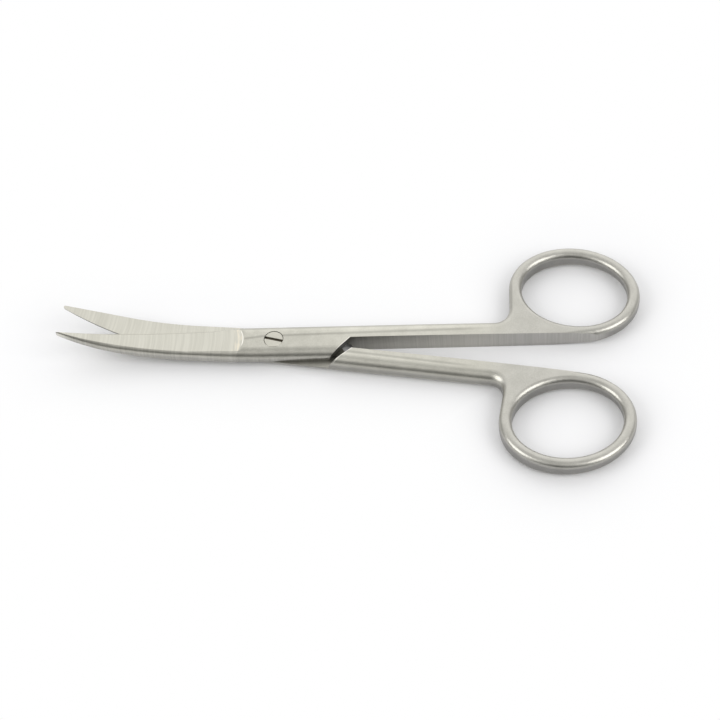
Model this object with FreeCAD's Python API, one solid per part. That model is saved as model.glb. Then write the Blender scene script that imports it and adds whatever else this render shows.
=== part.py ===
import FreeCAD, Part
import math
import os

from FreeCAD import Vector

# Curved dissecting scissors, millimetres and degrees.
# The pivot axis is the Z axis, and Z = 0 is the flat underside that lies on a table. The rings point to +X.
# Each half is drawn closed, with its shank and ring on the +Y side, then turned to the rest opening.

# Joint
rest_opening = 8.66
joint_thickness = 5.4
shear_height = 2.3
shear_gap = 0.04
plate_half_width = 4.75
side_rounding = 2.5
step_apex = 19.1
step_angle = 48.0
step_clearance = 0.75
step_lean = 15.0

# Blades
blade_root = 15.0
seam_step = 0.03
tip_reach = 55.5
tip_nose = 0.45
spine_angle = 3.72
spine_bend_start = 40.0
root_rounding = 2.2
spine_rounding = 1.7
tip_rounding = 0.7
edge_bend_start = 12.0
edge_bend_radius = 190.0
edge_land = 0.5
bevel_angle = 50.0
bevel_runout_start = 6.0
bevel_runout_rise = 1.6
shear_curve_start = 20.0
shear_curve_radius = 80.0
face_curve_start = 21.4
upper_tip_thickness = 1.25
lower_tip_thickness = 1.05
grind_depth = 0.25
grind_start = 9.3
grind_runout_radius = 5.0

# Shanks
inner_face = 0.15
belly_start = 25.0
belly_radius = 2800.0
heel_start = 40.0
heel_radius = 1300.0
web_radius = 3.8

# Finger rings
ring_x = 74.6
ring_y = 13.65
ring_tilt = -13.5
ring_hole_length = 26.4
ring_hole_width = 21.4
ring_wire = 3.1
ring_rounding = 1.4
facet_end = 77.6

# Pivot screw
head_diameter = 4.8
head_height = 1.5
shaft_diameter = 3.2
running_clearance = 0.05
flush_recess = 0.05
slot_width = 0.75
slot_depth = 0.7
slot_angle = -10.8
screw_edge = 0.12

# How far a cutting tool passes the metal, and the metal left under the inner face until it is ground
beyond = 4.0
inner_allowance = 0.4

# Points closer than this are the same
touching = 0.001


def rise(radius, run):
    """Height gained by an arc that starts level, after a horizontal run."""
    return radius - math.sqrt(radius ** 2 - run ** 2)


def radius_for(run, height):
    """Radius of the arc that starts level and gains a height over a horizontal run."""
    return (run ** 2 + height ** 2) / (2 * height)


def shear_z(radius):
    """Height of the shear surface at a distance from the pivot axis."""
    return shear_height + rise(shear_curve_radius, max(0.0, radius - shear_curve_start))


def tangent_radius(start, direction, end):
    """Radius of the arc that leaves a point in a direction and reaches another point."""
    chord = end - start
    return chord.Length ** 2 / (2 * abs(direction.cross(chord).z))


def line(start, end):
    return Part.LineSegment(start, end).toShape()


def arc(start, middle, end):
    return Part.Arc(start, middle, end).toShape()


def prism(edges, low, high):
    """Solid over a closed outline in plan, between two heights."""
    face = Part.Face(Part.Wire(edges))
    face.translate(Vector(0, 0, low))
    return face.extrude(Vector(0, 0, high - low))


def plan_polygon(points, low, high):
    wire = Part.makePolygon([Vector(x, y, 0) for x, y in points + points[:1]])
    return prism(wire.Edges, low, high)


def side_prism(edges):
    """Solid with a closed outline in the XZ plane, wider than any half."""
    width = 4 * (ring_y + ring_hole_width)
    face = Part.Face(Part.Wire(edges))
    face.translate(Vector(0, -width / 2, 0))
    return face.extrude(Vector(0, width, 0))


def side_curve(start_x, start_z, radius, end_x, up):
    """Arc in the XZ plane that leaves the level at its start, towards end_x, and bends up or down."""
    sign = 1 if up else -1
    middle_x = (start_x + end_x) / 2
    points = [(start_x, 0.0), (middle_x, rise(radius, abs(middle_x - start_x))),
              (end_x, rise(radius, abs(end_x - start_x)))]
    return arc(*[Vector(x, 0, start_z + sign * height) for x, height in points])


def ellipse(major, minor):
    """Oval of the finger ring with the given semi-axes."""
    tilt = math.radians(ring_tilt)
    centre = Vector(ring_x, ring_y, 0)
    along = Vector(math.cos(tilt), math.sin(tilt), 0)
    across = Vector(-math.sin(tilt), math.cos(tilt), 0)
    return Part.Ellipse(centre + along * major, centre + across * minor, centre)


def ring_limits():
    """Semi-axes of the ring's outer oval, its point at the end of the inner face, and its leftmost point."""
    major = ring_hole_length / 2 + ring_wire
    minor = ring_hole_width / 2 + ring_wire
    sine, cosine = math.sin(math.radians(ring_tilt)), math.cos(math.radians(ring_tilt))
    reach_x = math.hypot(major * cosine, minor * sine)
    skew = (major ** 2 - minor ** 2) * sine * cosine
    leftmost = Vector(ring_x - reach_x, ring_y - skew / reach_x, 0)
    # On the upright line at the end of the inner face, y is the lower root of the oval's equation
    run = facet_end - ring_x
    drop = major * minor * math.sqrt(reach_x ** 2 - run ** 2) / reach_x ** 2
    facet_corner = Vector(facet_end, ring_y + run * skew / reach_x ** 2 - drop, 0)
    return major, minor, facet_corner, leftmost


def blade_points():
    """Root and bend of the spine, the direction between them, and the tip."""
    angle = math.radians(spine_angle)
    direction = Vector(-math.cos(angle), math.sin(angle), 0)
    root_bend = blade_root / math.sin(angle)
    root = Vector(-blade_root, rise(root_bend, blade_root) - plate_half_width, 0)
    bend = root + direction * ((spine_bend_start - blade_root) / math.cos(angle))
    tip = Vector(-tip_reach, cutting_edge_y(tip_reach), 0)
    return root, bend, direction, tip


def seam_end(y):
    """Far end of the seam between blade and joint plate, which is square to the spine."""
    root = blade_points()[0]
    return Vector(root.x + (y - root.y) * math.tan(math.radians(spine_angle)), y, 0)


def cutting_edge_y(reach):
    """Offset of the cutting edge from the middle line of the closed instrument."""
    return plate_half_width - rise(edge_bend_radius, max(0.0, reach - edge_bend_start))


def plate_edge_x(y):
    """Slanted end of the joint plate, on the side that has no shank."""
    return step_apex - (inner_face - y) / math.tan(math.radians(step_angle))


def shoulder_x(y):
    """Slanted shoulder where the shank starts at full thickness, clear of the other half's plate."""
    angle = math.radians(step_angle)
    return step_apex + step_clearance / math.sin(angle) - (inner_face + y) / math.tan(angle)


def handle_outline():
    """Plan outline of plate, shank and ring: plate side, shank's outer side, ring side, what stays sharp."""
    major, minor, facet_corner, leftmost = ring_limits()
    root = blade_points()[0]
    root_bend = tangent_radius(Vector(0, -plate_half_width, 0), Vector(-1, 0, 0), root)
    middle_run = root_bend * math.sin(math.radians(spine_angle) / 2)
    root_middle = Vector(-middle_run, rise(root_bend, middle_run) - plate_half_width, 0)
    plate_start = Vector(0, -plate_half_width, 0)
    plate_corner = Vector(plate_edge_x(-plate_half_width), -plate_half_width, 0)
    apex = Vector(plate_edge_x(-inner_allowance), -inner_allowance, 0)
    web_centre = Vector(leftmost.x - web_radius, plate_half_width + web_radius, 0)
    web_end = web_centre + Vector(web_radius, 0, 0)
    web_start = web_centre - Vector(0, web_radius, 0)
    web_middle = web_centre + Vector(math.sqrt(0.5), -math.sqrt(0.5), 0) * web_radius
    back_root = seam_end(plate_half_width)
    oval = ellipse(major, minor)
    first, last = oval.parameter(facet_corner), oval.parameter(leftmost)
    if last < first:
        last += 2 * math.pi
    # Below the inner face the outline follows the oval's tangent until its rounding is clear of that face
    tangent = oval.tangent(first)[0]
    tangent = tangent if tangent.x < 0 else tangent * -1
    depth = ring_rounding + 2 * inner_allowance
    tangent_end = facet_corner + tangent * ((facet_corner.y + depth - inner_allowance) / abs(tangent.y))
    corner = Vector(tangent_end.x, -inner_allowance, 0)
    plate_side = [arc(root, root_middle, plate_start), line(plate_start, plate_corner)]
    shank_side = [line(web_start, back_root)]
    ring_side = [line(tangent_end, facet_corner), Part.ArcOfEllipse(oval, first, last).toShape(),
                 line(leftmost, web_end), arc(web_end, web_middle, web_start)]
    sharp = [line(back_root, root), line(plate_corner, apex), line(apex, corner), line(corner, tangent_end)]
    return plate_side, shank_side, ring_side, sharp


def blade_outline():
    """Plan outline of the blade: spine, cutting edge and the seam to the joint plate."""
    root, bend, direction, tip = blade_points()
    radius = tangent_radius(bend, direction, tip)
    centre = bend + Vector(direction.y, -direction.x, 0) * radius
    spine_middle = centre + (bend + tip - centre * 2).normalize() * radius
    back_root = seam_end(cutting_edge_y(blade_root))
    edge_middle_x = (blade_root + tip_reach) / 2
    edge_middle = Vector(-edge_middle_x, cutting_edge_y(edge_middle_x), 0)
    spine = [arc(tip, spine_middle, bend), line(bend, root)]
    rest = [line(root, back_root), arc(back_root, edge_middle, tip)]
    return spine, rest


def side_view(reach):
    """Side view of a half's full metal: level underside and top, then belly and heel towards the ring."""
    top = joint_thickness
    end = ring_x + ring_hole_length
    belly = side_curve(belly_start, top, belly_radius, end, False)
    heel = side_curve(heel_start, 0.0, heel_radius, end, True)
    top_end = Vector(end, 0, top - rise(belly_radius, end - belly_start))
    heel_end = Vector(end, 0, rise(heel_radius, end - heel_start))
    corners = [Vector(x, 0, z) for x, z in ((heel_start, 0), (-reach, 0), (-reach, top), (belly_start, top))]
    level_edges = [line(a, b) for a, b in zip(corners, corners[1:])]
    return side_prism(level_edges + [belly, line(top_end, heel_end), heel])


def over(point, other):
    """True where one point lies over another."""
    return math.hypot(point.x - other.x, point.y - other.y) < touching


def lies_on(point, outline):
    """True where a point lies over one of the outline's edges."""
    spot = Part.Vertex(Vector(point.x, point.y, 0))
    return any(part.distToShape(spot)[0] < touching for part in outline)


def on_outline(edge, outline):
    """True where a level edge of a solid lies over one of the outline's edges."""
    start, end = edge.Vertexes[0].Point, edge.Vertexes[-1].Point
    upright = over(start, end) and abs(start.z - end.z) > touching
    middle = edge.valueAt((edge.FirstParameter + edge.LastParameter) / 2)
    return not upright and lies_on(middle, outline)


def metal_on_left(solid, edge):
    """True where the metal lies on the left of an edge, looked along from above."""
    middle = (edge.FirstParameter + edge.LastParameter) / 2
    spot, along = edge.valueAt(middle), edge.tangentAt(middle)
    inset = inner_allowance / 2
    left = Vector(spot.x - along.y * inset, spot.y + along.x * inset, joint_thickness / 2)
    return solid.isInside(left, touching, False)


def rounded(solid, outline, radius_at, low, high):
    """Rounds one chain of edges over an outline, between two heights, with a radius that may change."""
    sheet = FreeCAD.newDocument("rounding")
    base = sheet.addObject("Part::Feature", "base")
    base.Shape = solid
    feature = sheet.addObject("Part::Fillet", "rounding")
    feature.Base = base
    chosen = []
    for number, edge in enumerate(solid.Edges, 1):
        ends = [edge.valueAt(edge.FirstParameter), edge.valueAt(edge.LastParameter)]
        if on_outline(edge, outline) and all(low < end.z < high for end in ends):
            first, last = ends if metal_on_left(solid, edge) else ends[::-1]
            chosen.append((number, radius_at(first), radius_at(last)))
    # A chain is walked in the direction of its first edge, and its radii are given in that order
    if not metal_on_left(solid, solid.Edges[chosen[0][0] - 1]):
        chosen = [(number, last, first) for number, first, last in chosen]
    feature.Edges = chosen
    sheet.recompute()
    result = feature.Shape.copy()
    FreeCAD.closeDocument(sheet.Name)
    return result.Solids[0]


def make_handle():
    """Joint plate, shank and ring at full thickness, rounded outside and in the finger hole, flat inside."""
    plate_side, shank_side, ring_side, sharp = handle_outline()
    side = side_view(blade_root + beyond)
    root = blade_points()[0]
    top = joint_thickness
    hole = [ellipse(ring_hole_length / 2, ring_hole_width / 2).toShape()]
    low, high = -beyond, top + beyond
    blank = prism(Part.sortEdges(plate_side + shank_side + ring_side + sharp)[0], low, high).common(side)
    handle = blank.cut(prism(hole, low, high)).Solids[0]

    def radius_at(point):
        if over(point, root):
            return root_rounding
        return side_rounding if lies_on(point, plate_side + shank_side) else ring_rounding

    for outline in (plate_side, shank_side + ring_side):
        handle = rounded(handle, outline, radius_at, low, top / 2)
        handle = rounded(handle, outline, radius_at, top / 2, high)
    handle = rounded(handle, hole, radius_at, low, high)
    past_ring = facet_end + ring_hole_length
    below = -2 * ring_wire
    under_face = [(step_apex, inner_face), (past_ring, inner_face)]
    under_face += [(past_ring, below), (plate_edge_x(below), below)]
    return handle.cut(plan_polygon(under_face, low, high)).Solids[0]


def shear_space(upper):
    """Space on one half's side of the surface that both blades share, turned about the pivot."""
    level = shear_height + shear_gap / 2 * (1 if upper else -1)
    reach = tip_reach + beyond
    far = joint_thickness * 8 if upper else -joint_thickness
    curve = side_curve(shear_curve_start, level, shear_curve_radius, reach, True)
    curve_end = Vector(reach, 0, level + rise(shear_curve_radius, reach - shear_curve_start))
    rest = [Vector(x, 0, z) for x, z in ((reach, far), (0, far), (0, level), (shear_curve_start, level))]
    corners = [curve_end] + rest
    face = Part.Face(Part.Wire([curve] + [line(a, b) for a, b in zip(corners, corners[1:])]))
    return face.revolve(Vector(0, 0, 0), Vector(0, 0, 1), 360)


def outer_face(upper, depth, runout):
    """Metal beyond a blade's outer face, at a depth under the joint's outer face, as a cutting tool."""
    sign = 1 if upper else -1
    base = joint_thickness if upper else 0.0
    tip_thickness = upper_tip_thickness if upper else lower_tip_thickness
    tip_face = shear_z(tip_reach) + sign * (tip_thickness + grind_depth)
    radius = radius_for(tip_reach - face_curve_start, tip_face - base)
    level = base - sign * depth
    reach = tip_reach + beyond
    far = base + sign * joint_thickness * 5
    start = Vector(-face_curve_start, 0, level)
    curve_end = Vector(-reach, 0, level + rise(radius, reach - face_curve_start))
    edges = [side_curve(-face_curve_start, level, radius, -reach, True)]
    if runout:
        height = depth + grind_runout_radius / 4
        run = math.sqrt(grind_runout_radius ** 2 - (grind_runout_radius - height) ** 2)
        ground_end = Vector(-grind_start, 0, level)
        run_end = Vector(run - grind_start, 0, level + sign * height)
        edges.append(side_curve(-grind_start, level, grind_runout_radius, run - grind_start, upper))
        corners = [run_end, Vector(run_end.x, 0, far), Vector(-reach, 0, far), curve_end]
    else:
        ground_end = Vector(beyond - blade_root, 0, level)
        corners = [ground_end, Vector(ground_end.x, 0, far), Vector(-reach, 0, far), curve_end]
    edges.append(line(start, ground_end))
    edges += [line(a, b) for a, b in zip(corners, corners[1:])]
    return side_prism(Part.sortEdges(edges)[0])


def bevel_section(reach, upper, outward):
    """Triangle that cuts the bevel, square to the cutting edge, moved outward where the bevel runs out."""
    sign = 1 if upper else -1
    turn = math.asin(max(0.0, reach - edge_bend_start) / edge_bend_radius)
    normal = Vector(-math.sin(turn), math.cos(turn), 0)
    edge = Vector(-reach, cutting_edge_y(reach), 0)
    level = shear_z(edge.Length) + sign * edge_land
    angle = math.radians(bevel_angle)
    slope = Vector(0, 0, sign * math.sin(angle)) - normal * math.cos(angle)
    foot = edge + normal * outward + Vector(0, 0, level)
    low = foot - slope * 2 * edge_land
    high = foot + slope * joint_thickness
    return Part.makePolygon([low, high, Vector(low.x, low.y, high.z), low])


def bevel_tools(upper):
    """The bevel along the whole edge, and its runout over the joint plate."""
    last = tip_reach + tip_nose * 2
    station_count = 7
    spacing = (last - blade_root) / (station_count - 1)
    stations = [blade_root + spacing * step for step in range(station_count)]
    main = Part.makeLoft([bevel_section(reach, upper, 0.0) for reach in stations], True, False)
    runout = Part.makeLoft([bevel_section(bevel_runout_start, upper, bevel_runout_rise),
                            bevel_section(blade_root, upper, 0.0)], True, True)
    return [main, runout]


def make_blade(upper):
    """Blade from its root to the tip: rounded spine, curved outer face and the shared shear surface."""
    spine, rest = blade_outline()
    root, bend, _, tip = blade_points()
    low = -beyond
    high = shear_z(tip_reach) + joint_thickness
    outline = Part.sortEdges(spine + rest)[0]
    blank = prism(outline, low, high).cut(outer_face(upper, 0.0, False)).Solids[0]

    def radius_at(point):
        if over(point, root):
            return root_rounding + seam_step
        return spine_rounding if point.x > bend.x - touching else tip_rounding

    blade = rounded(blank, spine, radius_at, low + touching, high - touching).common(shear_space(upper))
    nosed = prism(outline, low, high)
    nose = [edge for edge in nosed.Edges if all(over(vertex.Point, tip) for vertex in edge.Vertexes)]
    return blade.common(nosed.makeFillet(tip_nose, nose)).Solids[0]


def leaning_space(points, outer, inner):
    """Space over a plan polygon drawn at the outer face, which leans towards the blades on its way in."""
    inwards = 1 if inner > outer else -1
    lean = math.tan(math.radians(step_lean)) / math.sin(math.radians(step_angle))
    way = Vector(-lean, 0, inwards)
    wire = Part.makePolygon([Vector(x, y, outer) for x, y in points + points[:1]])
    face = Part.Face(wire)
    face.translate(way * -beyond)
    return face.extrude(way * (beyond + abs(inner - outer)))


def make_half(upper):
    """One forging, closed position, ring on the +Y side."""
    plate_face, pocket_face = (joint_thickness, 0.0) if upper else (0.0, joint_thickness)
    level = shear_height + shear_gap / 2 * (1 if upper else -1)
    far = ring_x
    pocket = [(shoulder_x(far), far), (-far, far), (-far, -far), (shoulder_x(-far), -far)]
    past_plate = [(step_apex, inner_face), (far, inner_face), (far, -far), (plate_edge_x(-far), -far)]
    half = make_handle().cut(leaning_space(pocket, pocket_face, level))
    half = half.cut(leaning_space(past_plate, plate_face, pocket_face))
    half = half.fuse(make_blade(upper)).removeSplitter()
    for tool in bevel_tools(upper) + [outer_face(upper, grind_depth, True)]:
        half = half.cut(tool)
    return half.removeSplitter().Solids[0]


def cylinder(diameter, low, high):
    return Part.makeCylinder(diameter / 2, high - low, Vector(0, 0, low))


def make_screw():
    """Slotted flat-headed screw, head flush in the upper half, end dressed flush below."""
    top = joint_thickness - flush_recess
    head = cylinder(head_diameter, top - head_height, top)
    circles = [edge for edge in head.Edges if isinstance(edge.Curve, Part.Circle)]
    rim = [edge for edge in circles if edge.CenterOfMass.z > top - touching]
    head = head.makeChamfer(screw_edge, rim)
    slot = Part.makeBox(head_diameter * 2, slot_width, slot_depth * 2)
    slot.translate(Vector(-head_diameter, -slot_width / 2, top - slot_depth))
    slot.rotate(Vector(0, 0, 0), Vector(0, 0, 1), slot_angle)
    return head.fuse(cylinder(shaft_diameter, flush_recess, top - head_height)).removeSplitter().cut(slot)


def main():
    seat_low = joint_thickness - flush_recess - head_height - shear_gap
    upper = make_half(True)
    upper = upper.cut(cylinder(head_diameter + 2 * running_clearance, seat_low, joint_thickness + beyond))
    upper = upper.cut(cylinder(shaft_diameter + 2 * running_clearance, -beyond, joint_thickness))
    lower = make_half(False).cut(cylinder(shaft_diameter, -beyond, joint_thickness))
    upper.rotate(Vector(0, 0, 0), Vector(0, 0, 1), rest_opening / 2)
    lower = lower.mirror(Vector(0, 0, 0), Vector(0, 1, 0))
    lower.rotate(Vector(0, 0, 0), Vector(0, 0, 1), -rest_opening / 2)
    os.makedirs("parts", exist_ok=True)
    for name, shape in (("upper_half", upper), ("lower_half", lower), ("pivot_screw", make_screw())):
        solid = shape.Solids[0]
        print(name, "solids", len(shape.Solids), "valid", solid.isValid(), "volume", round(solid.Volume, 1))
        solid.exportStep("parts/" + name + ".step")


if __name__ == "__main__":
    main()
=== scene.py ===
import math

import bpy
from mathutils import Matrix, Vector


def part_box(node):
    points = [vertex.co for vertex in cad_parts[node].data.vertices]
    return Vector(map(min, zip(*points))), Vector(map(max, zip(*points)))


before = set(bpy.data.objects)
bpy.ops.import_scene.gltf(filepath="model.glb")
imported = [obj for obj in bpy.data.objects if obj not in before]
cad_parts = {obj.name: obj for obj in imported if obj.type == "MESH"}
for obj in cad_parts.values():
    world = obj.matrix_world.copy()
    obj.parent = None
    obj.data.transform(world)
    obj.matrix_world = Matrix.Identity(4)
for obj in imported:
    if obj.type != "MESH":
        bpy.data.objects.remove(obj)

bpy.context.view_layer.update()
print("frame loaded:", ", ".join(sorted(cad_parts)))


class Wire:
    # a socket in a node tree, with Python's operators as Math nodes
    def __init__(self, tree, socket=None):
        self.tree = tree
        self.socket = socket

    def node(self, kind, settings=None, inputs=None, output=0):
        made = self.tree.nodes.new(kind)
        for name, value in (settings or {}).items():
            setattr(made, name, value)
        for name, value in (inputs or {}).items():
            if isinstance(value, Wire):
                self.tree.links.new(value.socket, made.inputs[name])
            else:
                made.inputs[name].default_value = value
        return Wire(self.tree, made.outputs[output])

    def put(self, kind, shader):
        # an output node at the end of the tree
        self.tree.links.new(shader.socket, self.tree.nodes.new(kind).inputs["Surface"])

    def maths(self, operation, first, second=0.0):
        return self.node("ShaderNodeMath", {"operation": operation}, {0: first, 1: second})

    def __add__(self, other):
        return self.maths("ADD", self, other)

    def __sub__(self, other):
        return self.maths("SUBTRACT", self, other)

    def __rsub__(self, other):
        return self.maths("SUBTRACT", other, self)

    def __mul__(self, other):
        return self.maths("MULTIPLY", self, other)

    def __abs__(self):
        return self.maths("ABSOLUTE", self)

    __radd__ = __add__
    __rmul__ = __mul__

    def orMore(self, other):
        return self.maths("MAXIMUM", self, other)

    def orLess(self, other):
        return self.maths("MINIMUM", self, other)

    def parts(self):
        # x, y and z of a vector
        split = self.node("ShaderNodeSeparateXYZ", {}, {"Vector": self})
        return [Wire(self.tree, end) for end in split.socket.node.outputs]

    def noise(self, scale, detail=3.0):
        return self.node("ShaderNodeTexNoise", {}, {"Vector": self, "Scale": scale, "Detail": detail})

    def step(self, low, high):
        # 0 below low, 1 above high, smooth between
        return self.node("ShaderNodeMapRange", {"interpolation_type": "SMOOTHSTEP"},
                         {"Value": self, "From Min": low, "From Max": high})

    def near(self, reach):
        # 1 close to zero, 0 further away
        return 1 - abs(self).step(*reach)

    def within(self, rise, fall):
        # 1 between two soft ends
        return self.step(*rise) * (1 - self.step(*fall))


def newMaterial(name):
    material = bpy.data.materials.new(name)
    material.use_nodes = True
    material.node_tree.nodes.clear()
    return material, Wire(material.node_tree)


def coordinates(wire, kind):
    return wire.node("ShaderNodeTexCoord", output=kind)


def vector(wire, x, y, z=0.0):
    return wire.node("ShaderNodeCombineXYZ", {}, {"X": x, "Y": y, "Z": z})


def mixColour(wire, mask, first, second):
    return wire.node("ShaderNodeMix", {"data_type": "RGBA"},
                     {"Factor": mask, "A": first, "B": second}, output=2)


def metal(wire, colour, roughness, height, strength):
    bump = wire.node("ShaderNodeBump", {}, {"Height": height, "Strength": strength,
                                            "Distance": steel["reliefDepth"]})
    return wire.node("ShaderNodeBsdfPrincipled", {}, {"Base Color": colour, "Metallic": 1.0,
                                                      "Roughness": roughness, "Normal": bump})


# Steel of the two halves. Each half has its own frame, turned back to the closed position, with its ring
# on +y: satin all over, the blades' faces ground across, and the inner faces ground upright
steel = {
    "colour": (0.575, 0.563, 0.50, 1),
    "darkSpots": (0.475, 0.465, 0.408, 1),
    "contrast": (0.36, 0.64),
    # colour of the painted shade on the walls of the step
    "paintedShade": (0.07, 0.065, 0.06, 1),
    "roughness": 0.34,
    "relief": 0.35,
    "reliefDepth": 0.0002,
    "turn": math.radians(4.33),  # of each half, from closed to the photograph's opening
    "flat": (0.9, 0.98),  # how level or upright a face is, from none to full
    "middle": 0.5,  # of a noise
}
satin = {
    "scale": 4200.0,
    "fineShare": 0.5,
    "cloudScale": 350.0,
    "cloudShare": 0.6,
    "patchScale": 90.0,
    "gloss": 0.08,
    "height": 0.03,
}
grinding = {
    "end": -0.0077,  # the ground face of the blade ends here, beside the boss
    "soft": 0.0003,
    "endBend": 80.0,
    "lineBend": 22.0,
    "stretch": 0.03,
    "lineScale": 2600.0,
    "lineDetail": 4.0,
    "bandScale": 280.0,
    "lineShare": 0.42,
    "bandShare": 0.26,
    "evenShare": 0.16,
    "gloss": 0.14,
    "height": 0.05,
}
grindingEnd = {  # warm fringes, then a painted highlight along the end
    "fringe": (0.0026, 0.0006),
    "fringeScale": 2000.0,
    "fringeDetail": 2.0,
    "fringeBreak": 0.16,
    "fringeContrast": (0.44, 0.64),
    "fringeColour": (0.68, 0.63, 0.52, 1),
    "edge": (0.00006, 0.00020),
    "highlightColour": (0.96, 0.94, 0.86, 1),
    "edgeMiddle": 0.0006,
    "edgeReach": (0.0016, 0.0030),
}
step = {  # painted highlight on the two slanted edges, and painted shade on the walls
    "apex": 0.0191,
    "innerFace": 0.00015,
    "angle": math.radians(48.0),
    "clearance": 0.00075,
    "ends": ((0.0135, 0.0145), (0.0235, 0.0245)),
    "halfHeight": (0.0024, 0.0028),
    "plateSide": (0.0001, 0.0003),
    # painted highlight: a thin bright line along the slanted edges
    "paintedBurrHighlight": (0.00006, 0.0002),
    "highlightFacing": (0.4, 0.6),
    "wallFacing": (0.88, 0.94),
    "wallShade": 0.75,
}
ridgeShade = {  # painted shade: a faint dark line along the back of the top face, with a painted highlight behind it
    "offset": 0.0011,
    "slope": 0.017,
    "dip": 0.0006,
    "dipEnds": (-0.0080, -0.0015),
    "width": (0.0001, 0.0006),
    "ends": ((-0.0078, -0.0070), (0.044, 0.054)),
    "depth": 0.21,
    "behindWidth": (0, 0.0003),
    "behind": 0.07,
}
shades = {  # how much lighter or darker a region is than the plain steel: painted shade and light on upright faces, the sliding face, the tips and the inner face, and plainly darker satin, boss and rings
    # painted shade: faces that are not level are darker, and a little bluer as a painted reflection of the
    # floor
    "upright": {"facing": (0.0, 0.6), "paintedBrightness": 0.69, "blue": 0.05},
    # painted shade on the sliding face, where the halves overlap; satin, boss and rings below are just darker
    "slidingFace": {"height": 0.0023, "reach": (0.00008, 0.00016), "dullingAndPaintedShade": 0.42},
    "satin": {"dullingAndPaintedShade": 0.07},
    "boss": {"end": (0.008, 0.022), "dullingAndPaintedShade": 0.06},
    "rings": {"start": (0.050, 0.062), "dullingAndPaintedShade": 0.08, "blue": 0.03},
    # painted light: the sides of the blades lighter near the tips
    "tip": {"end": (-0.0535, -0.0490), "facing": (0.78, 0.88), "paintedBrightness": 0.4},
    # painted light on the inner face, more towards the ring, and painted shade at its foot; its grain is the
    # steel's own
    "innerFace": {"back": (0.001, 0.002), "paintedBrightness": 0.12, "towardsRing": (0.015, 0.060), "paintedLightTowardsRing": 0.17,
                  "grain": 0.10, "foot": (0, 0.0016), "footShade": 0.08},
}


def ownFrame(wire, turn, side):
    # x, y and z of the place, then of the way the face looks, in the half's own frame
    found = []
    for kind in ("Object", "Normal"):
        turned = wire.node("ShaderNodeMapping", {}, {"Vector": coordinates(wire, kind),
                                                     "Rotation": (0, 0, turn)})
        x, y, z = turned.parts()
        found += [x, y * side, z]
    return found


def endOfGrinding(wire, colour, x, y, bent, mask):
    start, full = grindingEnd["fringe"]
    fringe = bent.step(grinding["end"] - start, grinding["end"] - full) * mask
    stripes = vector(wire, x, y * grindingEnd["fringeBreak"])
    stripes = stripes.noise(grindingEnd["fringeScale"], grindingEnd["fringeDetail"])
    fringe = fringe * stripes.step(*grindingEnd["fringeContrast"])
    return mixColour(wire, fringe, colour, grindingEnd["fringeColour"])


# painted highlight: a thin bright line where the ground face of the blade ends
def paintedEdgeHighlight(wire, colour, y, bent, flat):
    edge = (bent - grinding["end"]).near(grindingEnd["edge"]) * flat
    edge = edge * (y - grindingEnd["edgeMiddle"]).near(grindingEnd["edgeReach"])
    return mixColour(wire, edge, colour, grindingEnd["highlightColour"])


# painted highlight along the slanted edges of the step, and painted shade on its walls
def paintedHighlightAndShade(wire, colour, spot, face, side):
    x, y, z = spot
    faceX, faceY, faceZ = face
    sine, cosine = math.sin(step["angle"]), math.cos(step["angle"])
    plateEdge = (x - step["apex"]) * sine - (y - step["innerFace"]) * cosine
    shoulder = (x - step["apex"]) * sine + (y + step["innerFace"]) * cosine - step["clearance"]
    high = z.step(*step["halfHeight"])
    plate = high if side > 0 else 1 - high
    # painted highlight: thin bright lines along the plate's end and the shoulder
    plateEdgeHighlight = plateEdge.near(step["paintedBurrHighlight"]) * (1 - y.step(*step["plateSide"])) * plate
    shoulderEdgeHighlight = shoulder.near(step["paintedBurrHighlight"]) * (1 - plate)
    nearStep = x.within(*step["ends"])
    paintedBurrHighlight = plateEdgeHighlight.orMore(shoulderEdgeHighlight) * nearStep * abs(faceZ).step(*step["highlightFacing"])
    colour = mixColour(wire, paintedBurrHighlight, colour, grindingEnd["highlightColour"])
    # painted shade: the walls of the step, between the halves, darkened
    wall = abs(faceX * sine - faceY * cosine).orMore(abs(faceX * sine + faceY * cosine))
    wall = wall.step(*step["wallFacing"]) * nearStep * step["wallShade"]
    return mixColour(wire, wall, colour, steel["paintedShade"])


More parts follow.
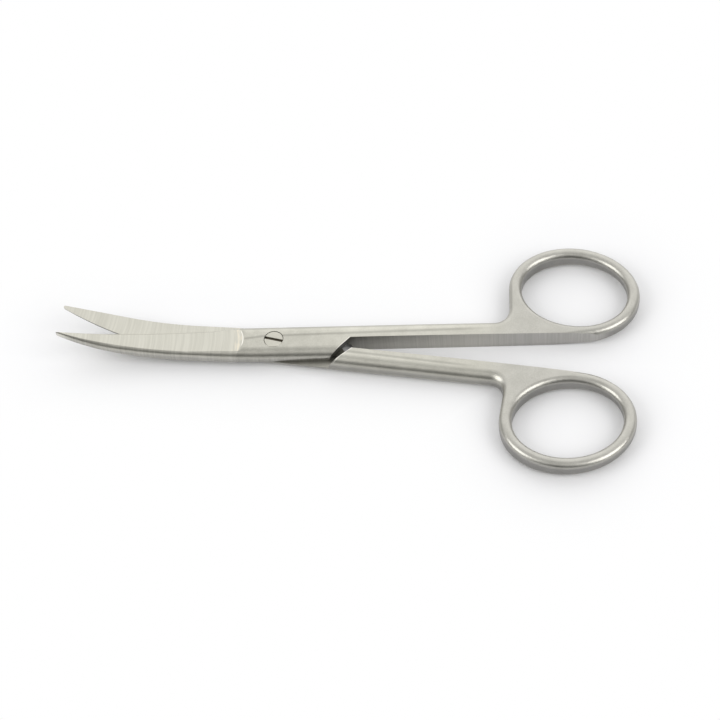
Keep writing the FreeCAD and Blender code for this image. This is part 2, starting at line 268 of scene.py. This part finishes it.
def makeSteel(name, turn, side):
    material, wire = newMaterial(name)
    place = coordinates(wire, "Object")
    x, y, z, faceX, faceY, faceZ = ownFrame(wire, turn, side)
    flat = abs(faceZ).step(*steel["flat"])
    inner = shades["innerFace"]
    innerFace = (0 - faceY).step(*steel["flat"]) * (1 - y.step(*inner["back"]))

    # fine curved lines across the blade, straight ones on the inner face, and satin elsewhere
    bent = x + y * y * grinding["endBend"]
    ground = 1 - bent.step(grinding["end"] - grinding["soft"], grinding["end"])
    lined = ground.orMore(innerFace)
    across = vector(wire, x + y * y * grinding["lineBend"], y * grinding["stretch"], z * grinding["stretch"])
    lines = across.noise(grinding["lineScale"], grinding["lineDetail"])
    bands = across.noise(grinding["bandScale"])
    marks = lines * grinding["lineShare"] + bands * grinding["bandShare"] + grinding["evenShare"]
    fine = place.noise(satin["scale"])
    cloud = place.noise(satin["cloudScale"]) * satin["cloudShare"]
    cloud = cloud + place.noise(satin["patchScale"]) * (1 - satin["cloudShare"])
    grain = cloud * (1 - satin["fineShare"]) + fine * satin["fineShare"]
    tone = marks * lined + grain * (1 - lined)
    colour = mixColour(wire, tone.step(*steel["contrast"]), steel["darkSpots"], steel["colour"])
    colour = endOfGrinding(wire, colour, x, y, bent, ground * flat)
    colour = paintedEdgeHighlight(wire, colour, y, bent, flat)
    colour = paintedHighlightAndShade(wire, colour, (x, y, z), (faceX, faceY, faceZ), side)

    # painted shade and light of the regions, and darker satin, boss and rings
    upright, sliding, tip, rings = [shades[name] for name in ("upright", "slidingFace", "tip", "rings")]
    # painted shade on upright faces
    level = abs(faceZ).step(*upright["facing"])
    paintedShadeAndTone = upright["paintedBrightness"] + level * (1 - upright["paintedBrightness"])
    # painted shade on the sliding face
    slidingShade = flat * (z - sliding["height"]).near(sliding["reach"]) * (1 - ground)
    boss = (1 - x.step(*shades["boss"]["end"])) * shades["boss"]["dullingAndPaintedShade"]
    paintedShadeAndTone = paintedShadeAndTone - slidingShade * sliding["dullingAndPaintedShade"] - (1 - ground) * (boss + shades["satin"]["dullingAndPaintedShade"])
    ringSide = x.step(*rings["start"])
    # painted light on the sides near the tips
    tipSide = (1 - x.step(*tip["end"])) * (1 - abs(faceZ).step(*tip["facing"]))
    paintedShadeAndTone = paintedShadeAndTone - ringSide * rings["dullingAndPaintedShade"] + tipSide * tip["paintedBrightness"]
    # painted reflection lighter towards the ring, with the inner face's grain; painted shade at its foot
    paintedLightAndGrain = x.step(*inner["towardsRing"]) * inner["paintedLightTowardsRing"] + (lines - steel["middle"]) * inner["grain"]
    foot = (1 - z.step(*inner["foot"])) * inner["footShade"]
    paintedShadeAndTone = paintedShadeAndTone + innerFace * (paintedLightAndGrain + inner["paintedBrightness"] - foot)

    # painted shade line along the back, with a painted highlight behind it
    ridgeY = ridgeShade["offset"] + x * ridgeShade["slope"] - (1 - x.step(*ridgeShade["dipEnds"])) * ridgeShade["dip"]
    along = x.within(*ridgeShade["ends"]) * flat
    behind = (y - ridgeY).step(*ridgeShade["behindWidth"]) * ridgeShade["behind"]
    paintedShadeAndTone = paintedShadeAndTone + along * (behind - (y - ridgeY).near(ridgeShade["width"]) * ridgeShade["depth"])

    blue = paintedShadeAndTone * (1 + (1 - level) * upright["blue"] + ringSide * rings["blue"])
    colour = wire.node("ShaderNodeVectorMath", {"operation": "MULTIPLY"},
                       {0: colour, 1: vector(wire, paintedShadeAndTone, paintedShadeAndTone, blue)})
    roughness = steel["roughness"] + (tone - steel["middle"]) * grinding["gloss"]
    roughness = roughness + (fine - steel["middle"]) * satin["gloss"]
    height = lines * lined * grinding["height"] + fine * (1 - lined) * satin["height"]
    wire.put("ShaderNodeOutputMaterial", metal(wire, colour, roughness, height, steel["relief"]))
    return material


for node, side in (("upper_half", 1), ("lower_half", -1)):
    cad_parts[node].material_slots[0].material = makeSteel(node + "Steel", -side * steel["turn"], side)
print("steel of the halves made")

# Screw: dressed face, with painted shade in its slot
screw = {
    "colour": (0.51, 0.495, 0.435, 1),
    "paintedShade": (0.22, 0.20, 0.16, 1),
    "roughness": 0.34,
    "slotRoughness": 0.3,
    "cloudScale": 900.0,
    "cloudDetail": 4.0,
    "contrast": (0.3, 0.7),
    "slot": (0.0001, 0.0003),
    "relief": 0.2,
}


def makeScrewSteel(top):
    material, wire = newMaterial("screwSteel")
    place = coordinates(wire, "Object")
    depth = (top - place.parts()[2]).step(*screw["slot"])
    cloud = place.noise(screw["cloudScale"], screw["cloudDetail"])
    pale = mixColour(wire, cloud.step(*screw["contrast"]), steel["darkSpots"], screw["colour"])
    # painted shade: the slot darkened below the screw's face
    colour = mixColour(wire, depth, pale, screw["paintedShade"])
    roughness = screw["roughness"] + depth * screw["slotRoughness"]
    wire.put("ShaderNodeOutputMaterial", metal(wire, colour, roughness, cloud, screw["relief"]))
    return material


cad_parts["pivot_screw"].material_slots[0].material = makeScrewSteel(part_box("pivot_screw")[1].z)
print("screw steel made")

# Table: white paper with the soft shadow of the scissors, which fades to plain white beside them
table = {
    "size": 6.0,
    "drop": 0.00002,
    "colour": (0.80, 0.80, 0.806, 1),
    "bladeReach": 0.055,
    "halfWidth": 0.006,
    "ringPlace": (0.0746, 0.0172),
    "ringRadius": 0.018,
    "fade": (-0.001, 0.021),
}


def rays(wire):
    # two masks: rays from the camera, and rays that metal or glass sends on
    seen, shiny, through = [wire.node("ShaderNodeLightPath", output=kind)
                            for kind in ("Is Camera Ray", "Is Glossy Ray", "Is Transmission Ray")]
    return seen, shiny.orMore(through)


def distance(wire, x, y):
    return wire.node("ShaderNodeVectorMath", {"operation": "LENGTH"}, {0: vector(wire, x, y)}, output="Value")


def makeTable():
    bpy.ops.mesh.primitive_plane_add(size=table["size"], location=(0, 0, -table["drop"]))
    plane = bpy.context.object
    plane.name = "table"
    material, wire = newMaterial("tableWhite")
    x, y, z = coordinates(wire, "Object").parts()
    pastBlades = (abs(x) - table["bladeReach"]).orMore(0.0)
    shank = distance(wire, pastBlades, y) - table["halfWidth"]
    ringX, ringY = table["ringPlace"]
    ring = distance(wire, x - ringX, abs(y) - ringY) - table["ringRadius"]
    seen, sentOn = rays(wire)
    mask = seen.orMore(sentOn) * shank.orLess(ring).step(*table["fade"])
    paper = wire.node("ShaderNodeBsdfDiffuse", {}, {"Color": table["colour"]})
    white = wire.node("ShaderNodeEmission", {}, {"Color": (1, 1, 1, 1), "Strength": 1.0})
    mixed = wire.node("ShaderNodeMixShader", {}, {"Fac": mask, 1: paper, 2: white})
    wire.put("ShaderNodeOutputMaterial", mixed)
    plane.data.materials.append(material)


makeTable()
print("table laid")

# Studio: a light tent, bright behind and darker towards the front and sides, with a large soft lamp each side
studio = {
    "front": 0.07,
    "roof": 0.73,
    "roofEdge": (-0.97, -0.62),
    "roofBox": 0.13,
    "roofBoxEdges": ((-0.74, -0.56), (-0.56, -0.30)),
    "backdrop": 1.36,
    "backdropEdge": (0.0, 0.58),
    "lowGlow": 0.12,
    "lowGlowStart": (0, 0.3),
    "lowEdge": (0.58, 0.70),
    "sides": 0.55,
    "sideEdge": (0.45, 0.95),
    "horizon": (0.0, 0.06),  # the white background shows in the metal up to here
    "lamps": {
        "leftLamp": {"place": (-0.65, -0.30, 0.55), "size": 0.6, "power": 3.0},
        "rightLamp": {"place": (0.67, -0.26, 0.55), "size": 0.6, "power": 3.0},
    },
}


def makeLamp(name, lamp):
    data = bpy.data.lights.new(name, "AREA")
    data.size = lamp["size"]
    data.energy = lamp["power"]
    made = bpy.data.objects.new(name, data)
    made.location = lamp["place"]
    made.rotation_euler = (-Vector(lamp["place"])).to_track_quat("-Z", "Y").to_euler()
    bpy.context.scene.collection.objects.link(made)


def makeTent():
    world = bpy.data.worlds.new("studioWorld")
    bpy.context.scene.world = world
    world.use_nodes = True
    world.node_tree.nodes.clear()
    wire = Wire(world.node_tree)
    x, y, z = coordinates(wire, "Generated").parts()
    level = studio["front"] + y.step(*studio["roofEdge"]) * (studio["roof"] - studio["front"])
    level = level + y.within(*studio["roofBoxEdges"]) * studio["roofBox"]
    level = level + y.step(*studio["backdropEdge"]) * (studio["backdrop"] - studio["roof"])
    low = y.step(*studio["lowGlowStart"]) * (1 - z.step(*studio["lowEdge"]))
    level = (level + low * studio["lowGlow"]) * (1 - abs(x).step(*studio["sideEdge"]) * studio["sides"])
    seen, sentOn = rays(wire)
    white = seen.orMore(sentOn * (1 - z.step(*studio["horizon"])))
    strength = level + white * (1 - level)
    back = wire.node("ShaderNodeBackground", {}, {"Color": (1, 1, 1, 1), "Strength": strength})
    wire.put("ShaderNodeOutputWorld", back)


for name, lamp in studio["lamps"].items():
    makeLamp(name, lamp)
makeTent()
bpy.context.scene.view_settings.view_transform = "Standard"
print("studio lit")

# Camera at the photograph's angle
camera = {
    "azimuth": math.radians(13.3),
    "elevation": math.radians(53.56),
    "roll": math.radians(-8.49),
    "eye": (0.079407, -0.246974, 0.341656),
    "lens": 85.449,
    "sensor": 36.0,
    "nearest": 0.01,
}


def makeCamera():
    a, e, roll = camera["azimuth"], camera["elevation"], camera["roll"]
    right = Vector((math.cos(a), math.sin(a), 0))
    back = Vector((math.sin(a) * math.cos(e), -math.cos(a) * math.cos(e), math.sin(e)))
    up = back.cross(right)
    turned = right * math.cos(roll) + up * math.sin(roll)
    up = up * math.cos(roll) - right * math.sin(roll)
    data = bpy.data.cameras.new("camera")
    data.lens = camera["lens"]
    data.sensor_width = camera["sensor"]
    data.clip_start = camera["nearest"]
    made = bpy.data.objects.new("camera", data)
    made.matrix_world = Matrix.Translation(camera["eye"]) @ Matrix((turned, up, back)).transposed().to_4x4()
    bpy.context.scene.collection.objects.link(made)
    bpy.context.scene.camera = made


makeCamera()
print("camera placed")
